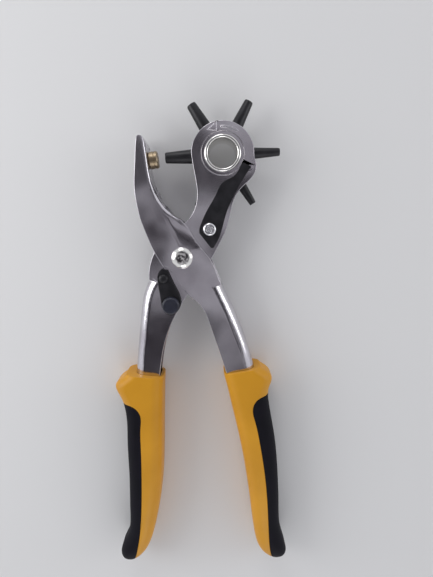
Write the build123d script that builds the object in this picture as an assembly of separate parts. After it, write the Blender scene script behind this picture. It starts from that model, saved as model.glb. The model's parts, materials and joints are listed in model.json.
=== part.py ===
"""Rotary hole punch for leather: two stamped channel levers, a six-tube turret and moulded grips.

The tool lies on its back. X is to the right, Y points to the jaws and Z is up, out of the
front face. The origin is on the pivot axis, at the flat rear head of the pivot rivet.
Millimetres. The jaws stand 4.3 degrees from closed.
"""

import os
from math import atan2, cos, degrees, radians, sin

from build123d import *

# ---------------------------------------------------------------- driving dimensions
MID = 11.0                   # height of the tool's middle plane above the surface it lies on
SHEET = 1.8                  # steel sheet of both levers
TURRET_LEVER_HALF = 6.5      # half the outside width of the turret lever's channel
ANVIL_LEVER_HALF = 8.5       # half the outside width of the anvil lever's channel
ROLL = 5.4                   # outside bend radius of the rolled shanks
RUN = 0.05                   # radial clearance of a running fit
SEAT = 0.02                  # clearance of a fixed seat

HUB = (20.8, 52.6)           # turret axis
TUBE_PHASE = 3.0             # degrees from -X to the tube that faces the anvil
TUBE_REACH = 29.5            # turret axis to the cutting edges
TUBE_ROOT = 9.6              # turret axis to the inner ends of the tubes
TUBE_BORES = (5.0, 4.5, 4.0, 3.5, 3.0, 2.5)
TUBE_WALL = 0.28             # wall at the cutting edge
TUBE_TAPER = 0.85            # growth of the tube's radius from its tip to the wheel

WHEEL_R = 14.6
WHEEL_HALF = 4.55            # half the turret wheel's thickness
EYELET_BORE = 7.1            # radius of the open hole through the turret's axle
EYELET_R = 8.6               # outside radius of the axle
EYELET_LIP = 9.5             # radius of its rolled front lip
HEAD_R = 15.9                # round head of the turret lever

PIVOT_R = 3.0
RIVET_HEAD_R = 5.6
CLOSE_ANGLE = 4.3            # degrees from rest until the tube would touch the anvil
PAD_R = 4.4                  # brass anvil pad
PAD_THICK = 4.55
PAD_NECK_R = 2.0             # its rivet neck through the jaw

LATCH_PIVOT = (-9.9, -10.9)
LATCH_KNOB = (-6.0, -24.7)
LATCH_RIVET_R = 1.6
LATCH_KNOB_R = 4.5
SCREW = (14.2, 14.6)
SCREW_R = 2.0
SCREW_HEAD_R = 3.4
DETENT_R = 13.7              # turret axis to the detent notches

LEAF = 1.0                   # thickness of the index spring
LATCH_SHEET = 1.8            # thickness of the latch lever
SKIN = 1.6                   # thickness of the grips' soft inlay
GRIP_CORNER = 6.5            # rounding of the grips' long edges


# ---------------------------------------------------------------- helpers
def about_mid(face, low, high):
    """Extrude a face drawn in the XY plane between two heights measured from the middle plane."""
    return Pos(0, 0, MID + low) * extrude(face, high - low, dir=(0, 0, 1))


def both_sides(face, inner, outer):
    """The same plate on the front and on the back of the middle plane."""
    return about_mid(face, inner, outer) + about_mid(face, -outer, -inner)


def disc(centre, radius, low, high):
    """A round bar along Z."""
    return about_mid(Pos(*centre) * Circle(radius), low, high)


def offset_curve(curve, distance, count=9):
    """Points of a curve moved sideways: positive to the left of its direction."""
    points = []
    for step in range(count):
        at = step / (count - 1)
        here = curve.position_at(at)
        along = curve.tangent_at(at)
        points.append((here.X - distance * along.Y, here.Y + distance * along.X))
    return points


def round_long_edges(block, curve, radius):
    """Round the edges of an extruded block that run along one curve of its outline."""
    chosen = []
    for edge in block.edges():
        middle = edge.position_at(0.5)
        flat = Vector(middle.X, middle.Y, 0)
        level = abs(edge.position_at(0).Z - edge.position_at(1).Z) < 1e-3
        if level and curve.distance_to(Vertex(flat)) < 0.02:
            chosen.append(edge)
    return fillet(chosen, radius)


def below(start, end, size=400):
    """A large face on the right-hand side of the line from start to end."""
    angle = degrees(atan2(end[1] - start[1], end[0] - start[0]))
    return Pos(*start) * Rot(0, 0, angle) * Pos(0, -size / 2) * Rectangle(2 * size, size)


def turn_about_pivot(point, angle):
    a = radians(angle)
    return (point[0] * cos(a) - point[1] * sin(a), point[0] * sin(a) + point[1] * cos(a))


# ---------------------------------------------------------------- outlines of the levers
# Anvil lever, from the nose of the jaw down its outer side, then back up the inner side.
NOSE = (-22.2, 60.4)
A_NECK = (-20.7, 18.4)
STEP_OUT = (-10.0, -4.5)
STEP_IN = (-7.8, -4.6)
A_TOE_LEFT = (38.0, -124.3)
A_TOE_RIGHT = (47.2, -122.7)
A_ROLL_START = (20.3, -13.9)
SHOULDER = (-2.2, 20.2)

a_back = Spline(NOSE, (-23.2, 49), (-23.9, 36), (-22.9, 27), A_NECK, tangents=[(-0.2, -1), (0.36, -1)])
a_outer = Spline(A_NECK, (-17.5, 10), (-12, -1.3), STEP_OUT, tangents=[(0.36, -1), (0.6, -1)])
a_lower = Spline(STEP_IN, (-2.5, -11.5), (2.9, -19.3), (8.6, -24.2), (13.8, -34), (18, -46.5),
                 (23.6, -63.5), (31.9, -95), A_TOE_LEFT)
a_roll = Spline(A_TOE_RIGHT, (42.6, -92), (38.3, -60.5), (33.5, -44), (27.2, -28.5), A_ROLL_START)
a_cut = Spline(A_ROLL_START, (18.6, -10), (15, -1.6), (10, 5), (5, 12.2), (1.4, 17.5), SHOULDER)
a_jaw = Spline(SHOULDER, (-7.6, 24.6), (-12.2, 31.2), (-15.2, 38.4), (-16.5, 45), (-17.6, 54),
               (-18.6, 59.2), (-20.4, 61.2), NOSE)

# Turret lever, from the top of the round head down the left side.
T_HEAD_LEFT = (HUB[0] - HEAD_R, HUB[1])
T_HEAD_RIGHT = (HUB[0] + HEAD_R * cos(radians(4)), HUB[1] + HEAD_R * sin(radians(4)))
T_ROLL_START = (-17.6, -11.8)
T_TOE_LEFT = (-27.9, -127.2)
T_TOE_RIGHT = (-17.6, -128.2)

t_head = ThreePointArc(T_HEAD_RIGHT, (HUB[0], HUB[1] + HEAD_R), T_HEAD_LEFT)
t_throat = Spline(T_HEAD_LEFT, (5.9, 46), (7.4, 37.5), (7.7, 30), (5.6, 23), (0.5, 17),
                  (-8, 11), (-14.2, 3.4), T_ROLL_START)
t_roll = Spline(T_ROLL_START, (-20.6, -18), (-22.9, -30), (-24.7, -46), (-26.3, -63), (-27.5, -96),
                T_TOE_LEFT)
t_inner = Spline(T_TOE_RIGHT, (-15.0, -95), (-12.8, -62), (-9.2, -43), (-4.3, -31), (0.4, -22.8),
                 (8, -11), (15.8, 0.6))
t_back = Spline((15.8, 0.6), (20, 8.5), (23, 15.4), (24.8, 22), (26.9, 30.2), (30.8, 35.9),
                (35.6, 40.6), (37.9, 46.2), (36.9, 50.8), T_HEAD_RIGHT)


# Below these lines the two plates of each lever are joined by the rolled side.
A_ROLL_LINE = below((-40, -32.5), A_ROLL_START)
T_ROLL_LINE = below(T_ROLL_START, (40, -27.2))


def shank_block(outline, roll_line, roll_curve, half):
    """The solid, unhollowed shape of a lever's shank, rounded along its rolled side."""
    return round_long_edges(about_mid(outline & roll_line, -half, half), roll_curve, ROLL)


# ---------------------------------------------------------------- anvil lever
def anvil_outline():
    step = Line(STEP_OUT, STEP_IN)
    toe = Line(A_TOE_LEFT, A_TOE_RIGHT)
    return make_face([Line(SHOULDER, A_NECK), a_outer, step, a_lower, toe, a_roll, a_cut])


PAD_AXIS = TUBE_PHASE + CLOSE_ANGLE
TIP = (HUB[0] - TUBE_REACH * cos(radians(TUBE_PHASE)), HUB[1] - TUBE_REACH * sin(radians(TUBE_PHASE)))
PAD_FACE = turn_about_pivot(TIP, CLOSE_ANGLE)


def along_pad(solid, out):
    """Stand a solid made on the Z axis on the pad's axis, out millimetres from the pad's face."""
    a = radians(PAD_AXIS)
    x = PAD_FACE[0] + out * cos(a)
    y = PAD_FACE[1] + out * sin(a)
    return Pos(x, y, MID) * Rot(0, 0, PAD_AXIS) * Rot(0, 90, 0) * solid


# The jaw's bend, from its nose to the pivot: height up the jaw, crease, edge, depth at the edge, and
# 1 for a round bend or 0 for a flat facet. Towards the pivot the bend opens out and fades.
BEND = [(62.5, -20.2, -18.4, 1.5, 1), (57, -19.6, -18.1, 1.4, 1), (50, -18.6, -17.1, 1.4, 1),
        (44, -17.9, -16.35, 1.5, 1), (38, -16.9, -15.1, 1.7, 1), (33, -15.4, -13.2, 1.8, 0.9),
        (29, -13.6, -10.9, 1.8, 0.7), (25, -10.9, -8.0, 1.7, 0.5), (20.2, -7.6, -2.2, 1.2, 0.2),
        (14, -4.3, 4.0, 0.7, 0), (8, -1.9, 8.2, 0.3, 0), (4.5, -0.9, 10.5, 0.012, 0)]


def bend_cutter():
    """What the bend takes off the square front corner of the jaw."""
    top, beyond, steps = MID + ANVIL_LEVER_HALF, 3, 4
    sections = []
    for y, crease, edge, depth, roundness in BEND:
        points = []
        for step in range(steps + 1):
            part = step / steps
            turn = radians(90 * part)
            across = part + roundness * (sin(turn) - part)
            down = part + roundness * (1 - cos(turn) - part)
            points.append((crease + (edge - crease) * across, top - depth * down))
        points += [(edge + beyond, top - depth), (edge + beyond, top + beyond), (crease, top + beyond)]
        sections.append(Plane.XZ.offset(-y) * make_face(Polyline(*points, close=True)))
    return loft(sections, ruled=True)


def make_anvil_lever():
    outline = anvil_outline()
    jaw_face = make_face([a_jaw, a_back, Line(A_NECK, SHOULDER)])
    middle_face = outline - A_ROLL_LINE

    half, inside = ANVIL_LEVER_HALF, ANVIL_LEVER_HALF - SHEET
    jaw = about_mid(jaw_face, -half, half)
    shank = shank_block(outline, A_ROLL_LINE, a_roll, half)

    inner = offset_curve(a_jaw, SHEET, 15)
    hollow = make_face([Spline(*inner), Polyline(inner[-1], (-40, 59), (-40, -5), (0, -5), inner[0])])
    jaw -= about_mid(hollow, -inside, inside)

    inner = offset_curve(a_roll, SHEET, 11)
    far = Polyline(inner[-1], (0, -5), (-20, -40), (20, -140), (60, -140), inner[0])
    channel = about_mid(make_face([Spline(*inner), far]), -inside, inside)
    channel = round_long_edges(channel, Spline(*inner), ROLL - SHEET)
    shank -= channel

    lever = jaw + shank + both_sides(middle_face, inside, half)
    lever -= disc((0, 0), PIVOT_R + RUN, -half - 1, half + 1)
    lever -= along_pad(Cylinder(PAD_NECK_R + SEAT, 12), -PAD_THICK - 1)
    cutter = bend_cutter()
    lever -= cutter
    lever -= mirror(cutter, Plane.XY.offset(MID))
    return lever


def make_anvil_pad():
    chamfered = chamfer(Cylinder(PAD_R, PAD_THICK).edges().group_by(Axis.Z)[-1], 0.5)
    pad = along_pad(chamfered, -PAD_THICK / 2)
    neck = along_pad(Cylinder(PAD_NECK_R, SHEET + 1.4), -PAD_THICK - (SHEET + 1.4) / 2)
    upset = along_pad(Cylinder(3.1, 1.0), -PAD_THICK - SHEET - 0.9)
    return pad + neck + upset


# ---------------------------------------------------------------- turret lever
def turret_outline():
    toe = Line(T_TOE_LEFT, T_TOE_RIGHT)
    return make_face([t_head, t_throat, t_roll, toe, t_inner, t_back])


def detent_place(solid):
    """Move a solid made at the origin to the detent, with its X axis pointing away from the hub."""
    angle = TUBE_PHASE - 30
    x = HUB[0] + DETENT_R * cos(radians(angle))
    y = HUB[1] + DETENT_R * sin(radians(angle))
    return Pos(x, y, MID) * Rot(0, 0, angle) * solid


def make_turret_lever():
    outline = turret_outline()
    head_face = outline - T_ROLL_LINE

    half, inside = TURRET_LEVER_HALF, TURRET_LEVER_HALF - SHEET
    shank = shank_block(outline, T_ROLL_LINE, t_roll, half)
    inner = offset_curve(t_roll, SHEET, 11)
    far = Polyline(inner[-1], (-40, -140), (20, -140), (20, -5), inner[0])
    channel = about_mid(make_face([Spline(*inner), far]), -inside, inside)
    shank -= round_long_edges(channel, Spline(*inner), ROLL - SHEET)

    lever = shank + both_sides(head_face, inside, half)
    lever -= disc((0, 0), PIVOT_R + SEAT, -half - 1, half + 1)
    lever -= disc(HUB, EYELET_R + SEAT, -half - 1, half + 1)
    lever -= disc(HUB, EYELET_LIP + 1.4, half - 0.35, half + 1)
    lever -= disc(SCREW, SCREW_R + SEAT, 0, half + 1)
    lever -= disc(LATCH_PIVOT, LATCH_RIVET_R + SEAT, 0, half + 1)
    lever -= detent_place(Pos(0.2, 0, 6) * Box(5.6, 3.4, 6))
    lever += rotation_arrow(half)
    return lever


def rotation_arrow(face):
    """A raised curved arrow beside the eyelet that shows which way the turret turns."""
    radius, width, rise = 12.9, 0.9, 0.35
    shaft = make_face(Circle(radius + width / 2).edges()) - make_face(Circle(radius - width / 2).edges())
    sweep = make_face(Polyline((0, 0), (-3.4, 40), (24, 34), close=True))
    shaft = shaft & sweep
    head = make_face(Polyline((-3.2, radius - 2.0), (-3.2, radius + 2.0), (-7.6, radius - 1.6), close=True))
    return about_mid(Pos(*HUB) * (shaft + head), face - 0.1, face + rise)


# ---------------------------------------------------------------- pivot
def make_pivot_rivet():
    """Solid rivet: domed head in front, flat head at the back, which the tool lies on."""
    outside = ANVIL_LEVER_HALF + SEAT
    shank = disc((0, 0), PIVOT_R, -outside, outside)
    rear = fillet(disc((0, 0), RIVET_HEAD_R, -MID, -outside).edges().group_by(Axis.Z)[0], 0.6)
    rim, rise = 0.5, 2.4
    ball = (RIVET_HEAD_R ** 2 + rise ** 2) / (2 * rise)
    dome = Pos(0, 0, MID + outside + rim + rise - ball) * Sphere(ball)
    dome &= disc((0, 0), RIVET_HEAD_R, outside + rim, outside + rim + rise + 1)
    front = disc((0, 0), RIVET_HEAD_R, outside, outside + rim) + dome
    return shank + rear + front


def make_pivot_bush():
    half = TURRET_LEVER_HALF - SHEET - SEAT
    return disc((0, 0), 5.0, -half, half) - disc((0, 0), PIVOT_R + SEAT, -half - 1, half + 1)


def rod(start, end, radius):
    """A round wire between two points, the heights measured from the middle plane."""
    first = Vector(start[0], start[1], MID + start[2])
    last = Vector(end[0], end[1], MID + end[2])
    plane = Plane(origin=first, z_dir=last - first)
    return extrude(plane * Circle(radius), (last - first).length)


def make_return_spring():
    """Torsion spring on the bush; its two arms press the shanks apart."""
    wire_r, coil_r, pitch, turns = 0.8, 6.3, 1.9, 2.5
    rise = pitch * turns
    path = Helix(pitch, rise, coil_r)
    section = Plane(origin=path @ 0, z_dir=path % 0) * Circle(wire_r)
    coils = Pos(0, 0, MID - rise / 2) * sweep(section, path, is_frenet=True)
    right = rod((coil_r, 0, -rise / 2), (18.9, -17.2, -1.2), wire_r)
    left = rod((-coil_r, 0, rise / 2), (-14.9, -15.4, 1.2), wire_r)
    return coils + right + left


# ---------------------------------------------------------------- turret
def on_spoke(solid, angle):
    """Lay a solid made along the X axis on a spoke of the turret."""
    return Pos(HUB[0], HUB[1], MID) * Rot(0, 0, angle) * solid


def tube_angle(place):
    """The first tube faces the anvil; the others follow clockwise, in falling size."""
    return 180 + TUBE_PHASE - 60 * place


def tip_radius(bore):
    return bore / 2 + TUBE_WALL


def make_tube(place):
    bore = TUBE_BORES[place] / 2
    tip, root = tip_radius(2 * bore), tip_radius(2 * bore) + TUBE_TAPER
    bevel, land, relief = 0.7, 7.0, 0.25
    profile = [
        (TUBE_ROOT, bore + relief), (TUBE_ROOT, root), (WHEEL_R + 1, root),
        (TUBE_REACH - bevel, tip), (TUBE_REACH, bore + 0.06), (TUBE_REACH, bore),
        (TUBE_REACH - land, bore), (TUBE_REACH - land - 1, bore + relief),
    ]
    face = make_face(Polyline(*profile, close=True))
    return on_spoke(revolve(face, Axis.X, 360), tube_angle(place))


def make_turret_wheel():
    wheel = disc(HUB, WHEEL_R, -WHEEL_HALF, WHEEL_HALF)
    wheel = chamfer(wheel.edges().filter_by(GeomType.CIRCLE), 0.4)
    wheel -= disc(HUB, EYELET_R + RUN, -WHEEL_HALF - 1, WHEEL_HALF + 1)
    for place, size in enumerate(TUBE_BORES):
        socket = Rot(0, 90, 0) * Cylinder(tip_radius(size) + TUBE_TAPER + SEAT, 8)
        slug_way = Rot(0, 90, 0) * Cylinder(1.2, 4)
        notch = Pos(14, 0, WHEEL_HALF) * Box(5.6, 2.0, 2.0)
        wheel -= on_spoke(Pos(TUBE_ROOT - SEAT + 4, 0, 0) * socket, tube_angle(place))
        wheel -= on_spoke(Pos(9, 0, 0) * slug_way, tube_angle(place))
        wheel -= on_spoke(notch, tube_angle(place) - 30)
    return wheel


def ring(inner, outer, low, high):
    return disc(HUB, outer, low, high) - disc(HUB, inner, low - 1, high + 1)


def make_turret_eyelet():
    """Hollow rivet that is the turret's axle; its open bore also hangs the tool on a hook."""
    seat = TURRET_LEVER_HALF - 0.35 + SEAT
    back = TURRET_LEVER_HALF + 0.8 + 2 * SEAT
    barrel = ring(EYELET_BORE, EYELET_R, -back - 0.4, seat + 0.4)
    front_lip = ring(EYELET_BORE, EYELET_LIP, seat, seat + 1.7)
    front_lip = fillet(front_lip.edges().group_by(Axis.Z)[-1], 0.8)
    back_lip = ring(EYELET_BORE, EYELET_LIP - 0.5, -back - 1.4, -back)
    back_lip = fillet(back_lip.edges().group_by(Axis.Z)[0], 0.6)
    return barrel + front_lip + back_lip


def make_eyelet_washer():
    half = TURRET_LEVER_HALF + SEAT
    return ring(EYELET_R + SEAT, 11.2, -half - 0.8, -half)


# ---------------------------------------------------------------- index spring
def make_index_spring():
    """Leaf spring: a wide body under its screw and a tongue whose end dips into the turret."""
    right = Spline((17.4, 7.2), (19.7, 12), (21.4, 18), (23.4, 24.6), (27.2, 32.7), (32.2, 41.4),
                   (35.0, 45.9))
    left = Spline((31.0, 47.7), (29.2, 45), (26.8, 41.6), (24, 40), (20.6, 37.9), (17.4, 32.2),
                  (13.2, 24.8), (10.4, 19.1), (8.8, 14.6))
    foot = Polyline((8.8, 14.6), (8.9, 12.6), (14.9, 5.0), (16.2, 5.0), (17.4, 7.2))
    leaf = make_face([right, Line((35.0, 45.9), (31.0, 47.7)), left, foot])
    body = about_mid(leaf, TURRET_LEVER_HALF + SEAT, TURRET_LEVER_HALF + SEAT + LEAF)
    body -= disc(SCREW, SCREW_R + RUN, TURRET_LEVER_HALF - 1, TURRET_LEVER_HALF + 3)
    drop = TURRET_LEVER_HALF + SEAT + LEAF - (WHEEL_HALF - 0.7)
    tab = detent_place(Pos(0, 0, WHEEL_HALF - 0.7 + drop / 2) * Box(4.4, LEAF, drop))
    return body + tab


def make_index_spring_screw():
    """Pan-head screw with a cross recess."""
    top = TURRET_LEVER_HALF + SEAT + LEAF + SEAT
    head_h = 2.2
    head = fillet(disc(SCREW, SCREW_HEAD_R, top, top + head_h).edges().group_by(Axis.Z)[-1], 1.3)
    recess = Box(3.6, 0.9, 2.4) + Box(0.9, 3.6, 2.4)
    head -= Pos(SCREW[0], SCREW[1], MID + top + head_h) * Rot(0, 0, 20) * recess
    return head + disc(SCREW, SCREW_R, TURRET_LEVER_HALF - SHEET - 1.2, top)


# ---------------------------------------------------------------- latch
LATCH_LOW = TURRET_LEVER_HALF + RUN
LATCH_HIGH = LATCH_LOW + LATCH_SHEET


def make_latch_lever():
    """Flat lever; its nose stands beside the step in the anvil lever's plate."""
    edge = Spline((-7.6, -6.5), (-6.9, -8.3), (-4.1, -14.4), (-1.4, -20.6), (-1.0, -24.4), (-2.8, -28.2),
                  (-6.4, -30.3), (-10.0, -28.1), (-11.3, -24), (-12, -19), (-13, -12.4), (-12.9, -9),
                  (-11.7, -6.6), (-10.2, -5.6))
    nose = Polyline((-10.2, -5.6), (-9.4, -6.2), (-7.6, -6.5))
    blade = about_mid(make_face([edge, nose]), LATCH_LOW, LATCH_HIGH)
    blade -= disc(LATCH_PIVOT, LATCH_RIVET_R + RUN, LATCH_LOW - 1, LATCH_HIGH + 1)
    return blade - disc(LATCH_KNOB, 1.4 + SEAT, LATCH_LOW - 1, LATCH_HIGH + 1)


def make_latch_knob():
    knob = disc(LATCH_KNOB, LATCH_KNOB_R, LATCH_HIGH + SEAT, LATCH_HIGH + 4.2)
    knob = fillet(knob.edges().group_by(Axis.Z)[-1], 1.3)
    return knob + disc(LATCH_KNOB, 1.4, LATCH_LOW + 0.05, LATCH_HIGH + 0.1)


def make_latch_rivet():
    inside = TURRET_LEVER_HALF - SHEET - SEAT
    head = disc(LATCH_PIVOT, 2.4, LATCH_HIGH + SEAT, LATCH_HIGH + 1.4)
    head = fillet(head.edges().group_by(Axis.Z)[-1], 1.0)
    upset = disc(LATCH_PIVOT, 2.7, inside - 0.9, inside)
    return head + upset + disc(LATCH_PIVOT, LATCH_RIVET_R, inside - 0.5, LATCH_HIGH + 0.5)


# ---------------------------------------------------------------- grips
# Each grip is given by stations along its own axis: distance from the mouth, outer side,
# inner side, half thickness.
LEFT_GRIP = {
    "mouth": (-22.3, -65.5), "lean": -5.0,
    "stations": [(-2, 9.4, -11.0, 11), (1.4, 12.0, -11.2, 11), (5.2, 14.6, -11.3, 11),
                 (10.5, 12.2, -11.6, 11), (18, 8.9, -12.0, 11), (38, 6.3, -13.3, 11),
                 (58, 4.1, -14.2, 11), (78, 2.6, -13.6, 10.6), (95.2, 3.0, -11.2, 10),
                 (104.2, 6.0, -8.0, 9.4), (109.2, 5.6, -4.2, 7), (112.2, 3.6, -0.8, 3.2)],
    "inlay": [(14.4, 20), (14.6, 7.4), (15.8, 2.6), (19.4, -0.4), (26, -1.1), (38, -2.0), (58, -3.7),
              (78, -4.7), (95, -4.4), (106, -3.0), (118, 0.6), (118, 20)],
}
RIGHT_GRIP = {
    "mouth": (32.0, -62.5), "lean": 9.5,
    "stations": [(-2, 10.0, -10.2, 11), (1.4, 13.2, -10.1, 11), (4.9, 15.2, -9.7, 11),
                 (10.6, 12.9, -9.3, 11), (18.4, 11.5, -8.8, 11), (38.5, 11.7, -7.6, 11),
                 (58.5, 10.5, -7.3, 11), (78.5, 8.3, -7.8, 10.6), (95.6, 6.8, -8.3, 10),
                 (106.4, 7.9, -6.7, 9.4), (111.9, 8.0, -3.3, 7), (115.4, 5.6, 0.8, 3.2)],
    "inlay": [(13.4, 20), (13.8, 8.4), (15.4, 4.6), (19.4, 2.2), (27, 2.3), (38.5, 2.9), (58.5, 2.8),
              (78.5, 1.4), (95.6, -0.4), (108, -1.0), (120, 1.6), (120, 22)],
}


def grip_axes(grip):
    """Unit vectors along the grip and towards its outer side."""
    lean = radians(grip["lean"])
    side = 1 if lean > 0 else -1
    return (sin(lean), -cos(lean)), (side * cos(lean), side * sin(lean))


def grip_point(grip, along, out):
    u, v = grip_axes(grip)
    x = grip["mouth"][0] + along * u[0] + out * v[0]
    y = grip["mouth"][1] + along * u[1] + out * v[1]
    return (x, y)


def grip_body(grip, inset):
    """Loft of rounded sections, all of them drawn in by the inset and the last one moved up by it."""
    u, v = grip_axes(grip)
    sections = []
    for along, outer, inner, half in grip["stations"]:
        x, y = grip_point(grip, min(along, grip["stations"][-1][0] - inset), (outer + inner) / 2)
        width, depth = outer - inner - 2 * inset, 2 * (half - inset)
        plane = Plane(origin=(x, y, MID), x_dir=(v[0], v[1], 0), z_dir=(u[0], u[1], 0))
        corner = min(GRIP_CORNER - inset / 2, 0.45 * min(width, depth))
        sections.append(plane * RectangleRounded(max(width, 0.8), max(depth, 0.8), max(corner, 0.3)))
    return loft(sections)


def make_grip(grip, shank):
    """The hard shell with its socket for the shank, and the soft inlay on its outer side."""
    outside = grip_body(grip, 0)
    points = [grip_point(grip, *pair) for pair in grip["inlay"]]
    edge = Spline(*points[1:-1])
    region = make_face([edge, Polyline(points[-2], points[-1], points[0], points[1])])
    inlay = (outside & about_mid(region, -20, 20)) - grip_body(grip, SKIN)
    shell = outside - inlay - shank
    return shell, inlay


def shank_socket(block, start, end):
    """The part of a shank's block that lies below the mouth of its grip and cuts the grip's socket."""
    return block & about_mid(below(start, end), -MID, MID)


# ---------------------------------------------------------------- write the pieces
def main():
    left_block = shank_block(turret_outline(), T_ROLL_LINE, t_roll, TURRET_LEVER_HALF + RUN)
    right_block = shank_block(anvil_outline(), A_ROLL_LINE, a_roll, ANVIL_LEVER_HALF + RUN)
    left_socket = shank_socket(left_block, (-60, -56), (60, -60))
    right_socket = shank_socket(right_block, (-60, -60), (60, -50))
    left_shell, left_inlay = make_grip(LEFT_GRIP, left_socket)
    right_shell, right_inlay = make_grip(RIGHT_GRIP, right_socket)
    pieces = {
        "turret_lever": make_turret_lever(),
        "anvil_lever": make_anvil_lever(),
        "anvil_pad": make_anvil_pad(),
        "pivot_rivet": make_pivot_rivet(),
        "pivot_bush": make_pivot_bush(),
        "return_spring": make_return_spring(),
        "turret_wheel": make_turret_wheel(),
        "turret_eyelet": make_turret_eyelet(),
        "eyelet_washer": make_eyelet_washer(),
        "index_spring": make_index_spring(),
        "index_spring_screw": make_index_spring_screw(),
        "latch_lever": make_latch_lever(),
        "latch_knob": make_latch_knob(),
        "latch_rivet": make_latch_rivet(),
        "left_grip": left_shell,
        "left_grip_inlay": left_inlay,
        "right_grip": right_shell,
        "right_grip_inlay": right_inlay,
    }
    for place, bore in enumerate(TUBE_BORES):
        pieces[f"punch_tube_{bore:.1f}".replace(".", "_")] = make_tube(place)
    os.makedirs("parts", exist_ok=True)
    for name, piece in pieces.items():
        export_step(piece, f"parts/{name}.step")
        print(f"{name}: {piece.volume:.0f} mm3")


main()
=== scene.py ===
# %% [markdown]
# # A rotary hole punch
#
# This lesson dresses a leatherworker's rotary hole punch: two plated steel levers on a big
# rivet, a black turret with six cutting tubes, a brass anvil pad, a leaf spring that clicks the
# turret into place, a latch, and two-part moulded grips. The engineering model comes first. It
# holds every size and every joint, and everything made here is placed from it.

# %% Load the engineering model
import json
from math import cos, hypot, pi, radians, sin

import bmesh
import bpy
from mathutils import Matrix, Vector
from mathutils.bvhtree import BVHTree


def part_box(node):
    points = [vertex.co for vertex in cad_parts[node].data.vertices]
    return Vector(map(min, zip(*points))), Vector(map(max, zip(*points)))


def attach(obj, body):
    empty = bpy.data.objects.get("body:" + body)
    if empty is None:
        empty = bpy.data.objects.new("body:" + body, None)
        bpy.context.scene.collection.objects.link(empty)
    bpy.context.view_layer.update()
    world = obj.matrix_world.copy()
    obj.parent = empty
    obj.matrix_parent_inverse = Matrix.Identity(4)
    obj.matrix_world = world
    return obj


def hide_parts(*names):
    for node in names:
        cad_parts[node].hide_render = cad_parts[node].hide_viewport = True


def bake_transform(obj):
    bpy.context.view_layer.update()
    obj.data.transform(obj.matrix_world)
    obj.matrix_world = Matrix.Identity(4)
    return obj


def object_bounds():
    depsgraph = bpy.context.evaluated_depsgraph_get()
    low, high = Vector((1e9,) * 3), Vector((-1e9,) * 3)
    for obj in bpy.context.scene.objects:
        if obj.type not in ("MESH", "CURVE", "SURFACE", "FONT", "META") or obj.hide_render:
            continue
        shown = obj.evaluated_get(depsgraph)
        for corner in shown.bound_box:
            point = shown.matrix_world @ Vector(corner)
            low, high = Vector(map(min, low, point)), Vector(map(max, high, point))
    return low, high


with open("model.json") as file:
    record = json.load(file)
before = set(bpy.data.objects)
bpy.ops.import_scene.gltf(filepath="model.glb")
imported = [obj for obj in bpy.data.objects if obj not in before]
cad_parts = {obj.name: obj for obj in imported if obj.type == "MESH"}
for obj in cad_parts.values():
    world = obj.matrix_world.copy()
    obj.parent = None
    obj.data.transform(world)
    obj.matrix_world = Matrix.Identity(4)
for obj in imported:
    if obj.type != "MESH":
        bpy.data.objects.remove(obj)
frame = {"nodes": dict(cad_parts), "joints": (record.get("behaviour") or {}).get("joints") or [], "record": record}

CAD_BOX = [list(corner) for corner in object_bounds()]
MM = 0.001
print("engineering model", [round((b - a) / MM, 1) for a, b in zip(*CAD_BOX)], "mm")

# %% [markdown]
# ## Where things turn
#
# A piece goes where its joint says, so the three axes are read once and given plain names. All
# three stand upright on the sheet, because the tool lies on its back.

# %% Read the three axes
JOINTS = {joint["name"]: Vector(joint["pos_m"]) for joint in frame["joints"]}
PIVOT = JOINTS["lever_pivot"]
HUB = JOINTS["turret_spin"]
LATCH_PIN = JOINTS["latch_swing"]
MIDDLE = PIVOT.z
print("pivot", PIVOT[:], "hub", HUB[:], "middle plane at", round(MIDDLE / MM, 2), "mm")

# %% [markdown]
# ## Camera
#
# The tool is seen from straight above, from about a hand's length away, which is near enough for
# the grips' ends to lean outwards a little. The camera looks almost straight down and is tipped
# a few degrees towards the jaws.

# %% Stand the camera over the tool
CAMERA_PLACE = (0.0177, 0.0170, 0.2425)
CAMERA_TIP = -8.4
LENS_MM = 27.0
camera = bpy.data.objects.new("camera", bpy.data.cameras.new("camera"))
bpy.context.scene.collection.objects.link(camera)
camera.location = CAMERA_PLACE
camera.rotation_euler = (radians(CAMERA_TIP), 0, 0)
camera.data.lens = LENS_MM
camera.data.clip_start = 0.01
bpy.context.scene.camera = camera
bpy.context.scene.view_settings.view_transform = "Standard"
print("camera at", camera.location[:], "lens", camera.data.lens, "mm")

# %% [markdown]
# ## Light
#
# Polished steel has no colour of its own: it shows the room. So the room is made first, with light
# and dark patches overhead and pale walls, and then four soft round lamps. The one on the left
# draws the long white streaks down the rolled shanks. A flat plate mirrors whatever hangs above
# it, so the lamps stand to the side and the ceiling's patches give the plates their light and
# shade. In the numbers below, a height is the upward part of a direction: 1 is straight overhead
# and 0 is the horizon.

# %% Paint the room
ROOM_STRENGTH = 0.82
PATCH_DARK, PATCH_LIGHT = (0.035, 0.031, 0.038, 1), (0.56, 0.55, 0.59, 1)
PATCH_START, PATCH_END = 0.46, 0.62
WALL_PALE = (0.92, 0.93, 0.97, 1)
WALL_BEGINS, WALL_FULL = 0.86, 0.62


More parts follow.
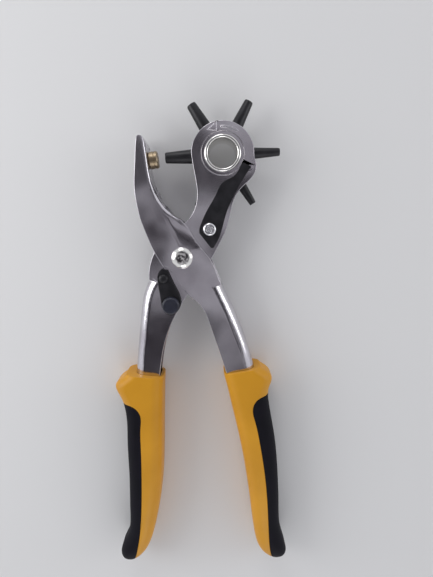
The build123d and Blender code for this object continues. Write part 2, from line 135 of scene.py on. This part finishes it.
def paint_room():
    """Light and dark patches overhead, and pale walls below about 60 degrees up."""
    world = bpy.data.worlds.new("dim workshop")
    bpy.context.scene.world = world
    world.use_nodes = True
    tree = world.node_tree
    where = tree.nodes.new("ShaderNodeTexCoord")
    patches = tree.nodes.new("ShaderNodeTexNoise")
    patches.inputs["Scale"].default_value = 5.0
    patches.inputs["Detail"].default_value = 0.5
    ceiling = tree.nodes.new("ShaderNodeValToRGB")
    ceiling.color_ramp.elements[0].position = PATCH_START
    ceiling.color_ramp.elements[0].color = PATCH_DARK
    ceiling.color_ramp.elements[1].position = PATCH_END
    ceiling.color_ramp.elements[1].color = PATCH_LIGHT
    parts = tree.nodes.new("ShaderNodeSeparateXYZ")
    height = tree.nodes.new("ShaderNodeMapRange")
    height.interpolation_type = "SMOOTHSTEP"
    height.inputs["From Min"].default_value = WALL_BEGINS
    height.inputs["From Max"].default_value = WALL_FULL
    walls = tree.nodes.new("ShaderNodeMix")
    walls.data_type = "RGBA"
    walls.inputs["B"].default_value = WALL_PALE
    tree.links.new(where.outputs["Generated"], patches.inputs["Vector"])
    tree.links.new(where.outputs["Generated"], parts.inputs["Vector"])
    tree.links.new(patches.outputs["Fac"], ceiling.inputs["Fac"])
    tree.links.new(parts.outputs["Z"], height.inputs["Value"])
    tree.links.new(height.outputs["Result"], walls.inputs["Factor"])
    tree.links.new(ceiling.outputs["Color"], walls.inputs["A"])
    tree.links.new(walls.outputs["Result"], tree.nodes["Background"].inputs["Color"])
    tree.nodes["Background"].inputs["Strength"].default_value = ROOM_STRENGTH
    print("room painted:", world.name)


paint_room()


# %% Hang the lamps
LAMP_AIM = Vector((0, -0.03, 0))


def soft_lamp(name, place, size, power):
    """A round soft lamp that faces the middle of the tool."""
    light = bpy.data.objects.new(name, bpy.data.lights.new(name, "AREA"))
    bpy.context.scene.collection.objects.link(light)
    light.data.shape = "DISK"
    light.data.size = size
    light.data.energy = power
    light.location = place
    aim = LAMP_AIM - Vector(place)
    light.rotation_euler = aim.to_track_quat("-Z", "Y").to_euler()
    print(name, "power", power, "W")


soft_lamp("left_lamp", (-0.50, 0.10, 0.26), 0.44, 1.2)
soft_lamp("right_lamp", (0.56, 0.10, 0.24), 0.30, 0.45)
soft_lamp("jaw_lamp", (-0.12, 0.60, 0.30), 0.34, 0.7)
soft_lamp("foot_lamp", (0.06, -0.62, 0.38), 0.36, 0.5)

# %% [markdown]
# ## Floor
#
# A plain pale sheet of card, a little rough. It only has to catch a soft shadow.

# %% Lay the floor
FLOOR_HALF, FLOOR_GAP = 1.5, 0.2 * MM
bm = bmesh.new()
bmesh.ops.create_grid(bm, x_segments=1, y_segments=1, size=FLOOR_HALF)
floor = bpy.data.objects.new("floor", bpy.data.meshes.new("floor"))
bm.to_mesh(floor.data)
bm.free()
bpy.context.scene.collection.objects.link(floor)
floor.location = (0, 0, CAD_BOX[0][2] - FLOOR_GAP)
card = bpy.data.materials.new("pale_card")
card.use_nodes = True
card.node_tree.nodes["Principled BSDF"].inputs["Base Color"].default_value = (0.78, 0.78, 0.78, 1)
card.node_tree.nodes["Principled BSDF"].inputs["Roughness"].default_value = 0.9
floor.data.materials.append(card)
print("floor at", round(floor.location.z / MM, 2), "mm")

# %% [markdown]
# ## Finishes
#
# Every finish is a small node tree. They all start from the same three steps: a patchy noise that
# moves the colour and the roughness a little, a fine noise that gives the surface its grain, and a
# bump that makes the grain stand up. All noise reads object coordinates, in metres, so a scale of
# 1000 gives marks about a millimetre wide. A pressed plate is never quite flat either, so a finish
# may have a slow wave as well, given by its scale and its height in millimetres. It bends the
# reflections into soft bands.

# %% A helper for all finishes
SHADE_START, SHADE_END = 0.3, 0.7
PATCH_DETAIL, GRAIN_DETAIL, WAVE_DETAIL = 5, 3, 1.5
GRAIN_STRENGTH, WAVE_STRENGTH = 0.35, 1.0


def finish(name, light, dark, metallic, roughness, patch, grain, height, wave=None, more=None):
    """Two shades mixed by slow patches, roughness from low to high, a fine grain and a slow wave."""
    material = bpy.data.materials.new(name)
    material.use_nodes = True
    tree = material.node_tree
    surface = tree.nodes["Principled BSDF"]
    where = tree.nodes.new("ShaderNodeTexCoord")

    patches = tree.nodes.new("ShaderNodeTexNoise")
    patches.inputs["Scale"].default_value = patch
    patches.inputs["Detail"].default_value = PATCH_DETAIL
    shades = tree.nodes.new("ShaderNodeValToRGB")
    shades.color_ramp.elements[0].position = SHADE_START
    shades.color_ramp.elements[0].color = (*dark, 1)
    shades.color_ramp.elements[1].position = SHADE_END
    shades.color_ramp.elements[1].color = (*light, 1)

    grains = tree.nodes.new("ShaderNodeTexNoise")
    grains.inputs["Scale"].default_value = grain
    grains.inputs["Detail"].default_value = GRAIN_DETAIL
    rough = tree.nodes.new("ShaderNodeMapRange")
    rough.inputs["To Min"].default_value = roughness[0]
    rough.inputs["To Max"].default_value = roughness[1]
    raised = tree.nodes.new("ShaderNodeBump")
    raised.inputs["Strength"].default_value = GRAIN_STRENGTH
    raised.inputs["Distance"].default_value = height * MM

    tree.links.new(where.outputs["Object"], patches.inputs["Vector"])
    tree.links.new(where.outputs["Object"], grains.inputs["Vector"])
    tree.links.new(patches.outputs["Fac"], shades.inputs["Fac"])
    tree.links.new(shades.outputs["Color"], surface.inputs["Base Color"])
    tree.links.new(patches.outputs["Fac"], rough.inputs["Value"])
    tree.links.new(rough.outputs["Result"], surface.inputs["Roughness"])
    tree.links.new(grains.outputs["Fac"], raised.inputs["Height"])
    tree.links.new(raised.outputs["Normal"], surface.inputs["Normal"])
    if wave:
        swell = tree.nodes.new("ShaderNodeTexNoise")
        swell.inputs["Scale"].default_value = wave[0]
        swell.inputs["Detail"].default_value = WAVE_DETAIL
        uneven = tree.nodes.new("ShaderNodeBump")
        uneven.inputs["Strength"].default_value = WAVE_STRENGTH
        uneven.inputs["Distance"].default_value = wave[1] * MM
        tree.links.new(where.outputs["Object"], swell.inputs["Vector"])
        tree.links.new(swell.outputs["Fac"], uneven.inputs["Height"])
        tree.links.new(uneven.outputs["Normal"], raised.inputs["Normal"])
    surface.inputs["Metallic"].default_value = metallic
    for socket, value in (more or {}).items():
        surface.inputs[socket].default_value = value
    print("finish", name)
    return material


# %% [markdown]
# The steel of the levers is stamped, tumbled and plated, so it is bright but never a perfect
# mirror: a fine orange peel is left under the plating, and it gives the plates their sparkle. The
# rivet and the eyelet are turned and polished, so they are smoother.

# %% Mix the metals
# Both shades of plated_steel carry a faint purple tint, which is painted reflection of purple-red surroundings;
# the patchy mix of the two is the plating's own uneven tone.
plated_steel = finish("plated_steel", (0.74, 0.72, 0.76), (0.52, 0.49, 0.53), 1.0, (0.10, 0.22),
                      patch=45, grain=1900, height=0.016, wave=(22, 2.6))
polished_steel = finish("polished_steel", (0.84, 0.83, 0.80), (0.74, 0.73, 0.71), 1.0, (0.07, 0.16),
                        patch=160, grain=3500, height=0.006)
wire_steel = finish("wire_steel", (0.50, 0.49, 0.48), (0.34, 0.33, 0.32), 1.0, (0.25, 0.42),
                    patch=300, grain=5000, height=0.01)
zinc = finish("zinc", (0.86, 0.86, 0.88), (0.70, 0.71, 0.74), 1.0, (0.14, 0.30),
              patch=400, grain=5000, height=0.01)
turned_brass = finish("turned_brass", (0.46, 0.37, 0.25), (0.32, 0.25, 0.17), 1.0, (0.28, 0.46),
                      patch=350, grain=4000, height=0.012)
black_oxide = finish("black_oxide", (0.022, 0.021, 0.025), (0.008, 0.008, 0.010), 0.25, (0.30, 0.50),
                     patch=220, grain=3000, height=0.02)

# %% [markdown]
# The grips are moulded in two shots: a hard satin shell, and a soft black skin over its back. Both
# carry the mould's spark-eroded texture, fine on the shell and coarser on the skin.

# %% Mix the plastics
grip_shell = finish("moulded_yellow", (0.69, 0.325, 0.016), (0.60, 0.275, 0.012), 0.0, (0.36, 0.48),
                    patch=40, grain=2600, height=0.05, more={"Specular IOR Level": 0.35})
grip_skin = finish("soft_black", (0.006, 0.005, 0.010), (0.003, 0.003, 0.006), 0.0, (0.55, 0.72),
                   patch=120, grain=3200, height=0.12, more={"Specular IOR Level": 0.14})
knob_plastic = finish("knob_plastic", (0.022, 0.024, 0.040), (0.012, 0.013, 0.022), 0.0, (0.32, 0.48),
                      patch=300, grain=3500, height=0.03)


# %% [markdown]
# ## From a bmesh to a finished piece
#
# Every piece ends the same way: its bmesh becomes a mesh, it is shaded smooth up to its real
# corners, it takes its finish, and it is tied to the body it moves with and to the engineering
# node it stands for. One helper does all of that, so no piece can be left without a body, except
# a piece that bends across a joint: that one is left on neither body.

# %% A helper that settles a piece
BODIES = frame["record"]["behaviour"]["bodies"]
CORNER = radians(40)
CRISP, CRISP_BEVELLED = 32, 50
EDGE_STEPS = 2


def settle(bm, node, finishes, edge=0.0, crisp=CRISP, bends=None):
    """Turn a bmesh into the piece that stands for a node, with its corners bevelled by edge mm."""
    piece = bpy.data.objects.new(node + "_piece", bpy.data.meshes.new(node + "_piece"))
    bpy.context.scene.collection.objects.link(piece)
    bm.to_mesh(piece.data)
    bm.free()
    piece.data.shade_smooth()
    piece.data.set_sharp_from_angle(angle=radians(crisp))
    piece.data.materials.clear()
    for one in finishes:
        piece.data.materials.append(one)
    if edge:
        bevel = piece.modifiers.new("edge", "BEVEL")
        bevel.width = edge * MM
        bevel.segments = EDGE_STEPS
        bevel.limit_method = "ANGLE"
        bevel.angle_limit = CORNER
        bevel.harden_normals = True
    if bends:
        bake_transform(piece)
    else:
        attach(piece, next(body for body, nodes in BODIES.items() if node in nodes))
    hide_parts(node)
    print(node, "faces", len(piece.data.polygons))
    return piece


# %% [markdown]
# ## Stamped and bent pieces
#
# The levers, the turret wheel and the springs have the right shape in the engineering model, but
# their edges are knife sharp, and no real stamping has such edges. A merged copy is taken, its
# flat triangles are joined into clean faces, and a narrow bevel runs round every corner. The bevel
# is what catches the light as a thin bright line. Where a rolled side begins, two edges meet at a
# needle's angle, and a bevel can shoot a corner out into the air. Each corner that strays further
# from the old surface than the bevel's own width is therefore put back on that surface.

# %% A helper for stamped pieces
MERGE, FLAT = 0.02 * MM, radians(0.3)


def stamped(node, material, edge=0.2, steps=EDGE_STEPS, bends=None):
    """A merged copy of an engineering node with every sharp corner bevelled."""
    bm = bmesh.new()
    bm.from_mesh(frame["nodes"][node].data)
    for face in bm.faces:
        face.material_index = 0
    bmesh.ops.remove_doubles(bm, verts=bm.verts, dist=MERGE)
    bmesh.ops.dissolve_limit(bm, angle_limit=FLAT, verts=bm.verts, edges=bm.edges)
    if edge:
        skin = BVHTree.FromBMesh(bm)
        corners = [one for one in bm.edges if one.calc_face_angle(0) > CORNER]
        bmesh.ops.bevel(bm, geom=corners, offset=edge * MM, segments=steps, profile=0.5,
                        affect="EDGES", clamp_overlap=False, material=-1)
        for vert in bm.verts:
            spot, _, _, stray = skin.find_nearest(vert.co)
            if stray > edge * MM:
                vert.co = spot
    piece = settle(bm, node, [material], crisp=CRISP_BEVELLED, bends=bends)
    if edge:
        even = piece.modifiers.new("even", "WEIGHTED_NORMAL")
        even.keep_sharp = True


# %% Dress the levers and their flat fittings
stamped("turret_lever", plated_steel, edge=0.32, steps=3)
stamped("anvil_lever", plated_steel, edge=0.32, steps=3)
stamped("turret_wheel", black_oxide)
stamped("index_spring", black_oxide, edge=0.18)
stamped("latch_lever", black_oxide, edge=0.3)
stamped("pivot_bush", wire_steel)
stamped("eyelet_washer", wire_steel)
stamped("index_spring_screw", zinc, edge=0.12)

# %% [markdown]
# The return spring is wound round the bush. One arm rests in each lever's shank, so as the levers
# turn, its coils twist and each arm follows its own lever. The wire is already round and smooth, so
# it only needs its finish; it is left on neither lever's body.

# %% Dress the return spring, on neither lever
COIL_R = 6.3 * MM
twist = {"a": "turret_lever", "b": "anvil_lever", "start": PIVOT - Vector((COIL_R, 0, 0)),
         "end": PIVOT + Vector((COIL_R, 0, 0))}
stamped("return_spring", wire_steel, edge=0, bends=twist)
print("coils twist within", round(COIL_R / MM, 1), "mm of the pivot")

# %% [markdown]
# ## Turned pieces
#
# Rivets, tubes and knobs come off a lathe, and Blender has a lathe too. Half an outline is drawn
# as a chain of points, each a radius and a height, and spun round. Where the outline touches the
# axis the points of the pole are merged, and the normals are then made to face outwards.


# %% A lathe
def arc(centre, reach, start, end, steps=6):
    """Points of a part of an ellipse, angles in degrees from straight out towards up."""
    turns = [radians(start + (end - start) * k / steps) for k in range(steps + 1)]
    return [(centre[0] + reach[0] * cos(turn), centre[1] + reach[1] * sin(turn)) for turn in turns]


def turned(node, outline, place, finishes, edge=0.0, closed=False, sides=64, paint=None):
    """Spin an outline of (radius, height) in mm about Z, then put it in its place."""
    bm = bmesh.new()
    corners = [bm.verts.new((radius * MM, 0, height * MM)) for radius, height in outline]
    ends = corners[1:] + corners[:1] if closed else corners[1:]
    for low, high in zip(corners, ends):
        bm.edges.new((low, high))
    bmesh.ops.spin(bm, geom=bm.verts[:] + bm.edges[:], axis=(0, 0, 1), cent=(0, 0, 0),
                   angle=2 * pi, steps=sides, use_merge=True)
    bmesh.ops.remove_doubles(bm, verts=bm.verts, dist=0.0005 * MM)
    bmesh.ops.recalc_face_normals(bm, faces=bm.faces)
    for face in bm.faces:
        face.material_index = paint(face.calc_center_median() / MM) if paint else 0
    bmesh.ops.transform(bm, matrix=place, verts=bm.verts)
    return settle(bm, node, finishes, edge)


# %% [markdown]
# The pivot rivet is one solid piece. Its front head is a smooth dome, its back head is flat,
# because the tool lies on it.

# %% Turn the pivot rivet
low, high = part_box("pivot_rivet")
RIVET_TOP = high.z / MM
HEAD_R = (high.x - low.x) / 2 / MM
SHANK_R, REAR, FRONT, RIM, ROUND = 3.0, 2.48, 19.52, 20.0, 0.6
RISE = RIVET_TOP - RIM
rivet_outline = [(0, 0)] + arc((HEAD_R - ROUND, ROUND), (ROUND, ROUND), -90, 0, 3) + [
    (HEAD_R, REAR), (SHANK_R, REAR), (SHANK_R, FRONT), (HEAD_R, FRONT), (HEAD_R, RIM)]
rivet_outline += arc((0, RIM - 0.1), (HEAD_R, RISE + 0.1), 8, 90, 10)
turned("pivot_rivet", rivet_outline, Matrix.Translation((PIVOT.x, PIVOT.y, 0)), [polished_steel])

# %% [markdown]
# The eyelet is the turret's axle: a short tube whose two ends are rolled over, so each lip is half
# of a ring. Only the lips are polished; the bore wall takes the black finish as painted shade, so the hole looks
# dark.

# %% Roll the eyelet
BORE_R, BARREL_R, LIP_R, BACK_R = 7.1, 8.6, 9.5, 9.0
LIP_RISE, BACK_RISE = 1.7, 1.4
low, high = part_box("turret_eyelet")
EYELET_TOP, EYELET_LOW = high.z / MM, low.z / MM
SEAT, BACK_SEAT = EYELET_TOP - LIP_RISE, EYELET_LOW + BACK_RISE
mid_lip = (BORE_R + LIP_R) / 2
mid_back = (BORE_R + BACK_R) / 2
eyelet_outline = arc((mid_lip, SEAT), (LIP_R - mid_lip, LIP_RISE), 0, 180, 12)
eyelet_outline += arc((mid_back, BACK_SEAT), (mid_back - BORE_R, BACK_RISE), 180, 360, 12)
eyelet_outline += [(BARREL_R, BACK_SEAT), (BARREL_R, SEAT)]


def bore_painted_shade(centre):
    """The lips keep the polish; the wall of the bore between them takes the black finish as painted shade."""
    inside = hypot(centre.x, centre.y) < BORE_R + 0.25
    return 1 if inside and BACK_SEAT < centre.z < SEAT + 0.5 else 0


# The black wall of the bore is painted shade that keeps the hole dark.
turned("turret_eyelet", eyelet_outline, Matrix.Translation((HUB.x, HUB.y, 0)),
       [polished_steel, black_oxide], closed=True, sides=96, paint=bore_painted_shade)

# %% [markdown]
# The six cutting tubes stand on the wheel's spokes, 60 degrees apart, in falling size. Each one
# tapers to its tip, where a short bevel is ground to a cutting edge, and is hollow, so the cut-out
# drops back into the turret. The ground bevel stays brighter than the blackened tube.

# %% Turn the six cutting tubes
TUBE_BORES = (5.0, 4.5, 4.0, 3.5, 3.0, 2.5)
TUBE_REACH, TUBE_ROOT, WHEEL_R = 29.5, 9.6, 14.6
WALL, TAPER, GROUND, LAND, RELIEF = 0.28, 0.85, 0.7, 7.0, 0.25
TIP_EDGE, BEVEL, FIRST_SPOKE, STEP = 0.06, 0.06, 183, 60
ground_steel = finish("ground_steel", (0.20, 0.20, 0.21), (0.11, 0.11, 0.12), 0.9, (0.28, 0.42),
                      patch=400, grain=6000, height=0.006)


def tube_is_ground(centre):
    """The short cone at the tip is bare ground steel; the rest of the tube is black."""
    return 1 if centre.z > TUBE_REACH - GROUND else 0


for place, size in enumerate(TUBE_BORES):
    bore, tip = size / 2, size / 2 + WALL
    root = tip + TAPER
    shoulder = TUBE_REACH - GROUND
    tube_outline = [(bore + RELIEF, TUBE_ROOT), (root, TUBE_ROOT), (root, WHEEL_R + 1),
                    (tip + TAPER / 2, (WHEEL_R + 1 + shoulder) / 2), (tip, shoulder),
                    (bore + TIP_EDGE, TUBE_REACH), (bore, TUBE_REACH), (bore, TUBE_REACH - LAND),
                    (bore + RELIEF, TUBE_REACH - LAND - 1)]
    spoke = Matrix.Rotation(radians(FIRST_SPOKE - STEP * place), 4, "Z")
    upright = Matrix.Translation(HUB) @ spoke @ Matrix.Rotation(radians(90), 4, "Y")
    turned(f"punch_tube_{size:.1f}".replace(".", "_"), tube_outline, upright,
           [black_oxide, ground_steel], edge=BEVEL, closed=True, sides=40, paint=tube_is_ground)

# %% [markdown]
# Three small turned pieces are left: the latch's round thumb knob, which is dished a little on
# top, the latch's rivet, and the brass pad that the tubes cut against. The pad is turned from bar,
# so a shallow groove parts its face from its foot. Its face stands where the tip of the facing
# tube arrives when the levers have closed by 4.3 degrees, and that tube leans 3 degrees.

# %% Turn the knob and the latch rivet
low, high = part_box("latch_knob")
KNOB = ((low.x + high.x) / 2, (low.y + high.y) / 2)
KNOB_HIGH, KNOB_ROUND = 4.18, 1.2
KNOB_R, KNOB_TOP = (high.x - low.x) / 2 / MM, high.z / MM
KNOB_LOW = KNOB_TOP - KNOB_HIGH
knob_outline = [(0, KNOB_LOW), (KNOB_R - 0.3, KNOB_LOW), (KNOB_R, KNOB_LOW + 0.4)]
knob_outline += arc((KNOB_R - KNOB_ROUND, KNOB_TOP - KNOB_ROUND), (KNOB_ROUND, KNOB_ROUND), 0, 80, 6)
knob_outline += [(KNOB_R - 2.0, KNOB_TOP - 0.05), (1.2, KNOB_TOP - 0.30), (0, KNOB_TOP - 0.34)]
turned("latch_knob", knob_outline, Matrix.Translation((*KNOB, 0)), [knob_plastic])

low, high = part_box("latch_rivet")
LATCH_TOP = high.z / MM
LATCH_FOOT = low.z / MM
UPSET_R, UPSET_THICK, STEM_R, DOME_R, DOME_RISE = 2.7, 0.9, 1.6, 2.4, 1.1
under_dome = LATCH_TOP - 1.38
small_outline = [(0, LATCH_FOOT), (UPSET_R, LATCH_FOOT), (UPSET_R, LATCH_FOOT + UPSET_THICK),
                 (STEM_R, LATCH_FOOT + UPSET_THICK), (STEM_R, under_dome), (DOME_R, under_dome)]
small_outline += arc((0, LATCH_TOP - DOME_RISE), (DOME_R, DOME_RISE), 0, 90, 8)
turned("latch_rivet", small_outline, Matrix.Translation((LATCH_PIN.x, LATCH_PIN.y, 0)), [black_oxide])

# %% Turn the brass pad
PAD_R, PAD_THICK, NECK_R, FOOT_R = 4.4, 4.55, 2.0, 3.1
FOOT_TOP, FOOT_END = -6.8, -8.15
CHAMFER, GROOVE, FACE_EDGE = 0.35, 0.25, 0.5
CLOSED_BY, PHASE = 4.3, 3.0
tip_spoke = HUB - PIVOT - Vector((cos(radians(PHASE)), sin(radians(PHASE)), 0)) * TUBE_REACH * MM
face_centre = PIVOT + Matrix.Rotation(radians(CLOSED_BY), 3, "Z") @ tip_spoke
pad_outline = [(0, FOOT_END), (FOOT_R, FOOT_END), (FOOT_R, FOOT_TOP), (NECK_R, FOOT_TOP),
               (NECK_R, -PAD_THICK), (PAD_R - CHAMFER, -PAD_THICK), (PAD_R, -PAD_THICK + CHAMFER),
               (PAD_R, -2.2), (PAD_R - GROOVE, -2.0), (PAD_R - GROOVE, -1.7), (PAD_R, -1.5),
               (PAD_R, -FACE_EDGE), (PAD_R - FACE_EDGE, 0), (0, 0)]
facing = Matrix.Rotation(radians(PHASE + CLOSED_BY), 4, "Z") @ Matrix.Rotation(radians(90), 4, "Y")
turned("anvil_pad", pad_outline, Matrix.Translation(face_centre) @ facing, [turned_brass], sides=56)

# %% [markdown]
# ## Grips
#
# Each grip is a hard shell with a soft skin let into its outer side. Both were moulded, so the line
# where they meet is a fine rounded groove, which two small facing bevels give.

# %% Dress the grips
for side in ("left", "right"):
    stamped(side + "_grip", grip_shell, edge=0.35, steps=3)
    stamped(side + "_grip_inlay", grip_skin, edge=0.3, steps=3)
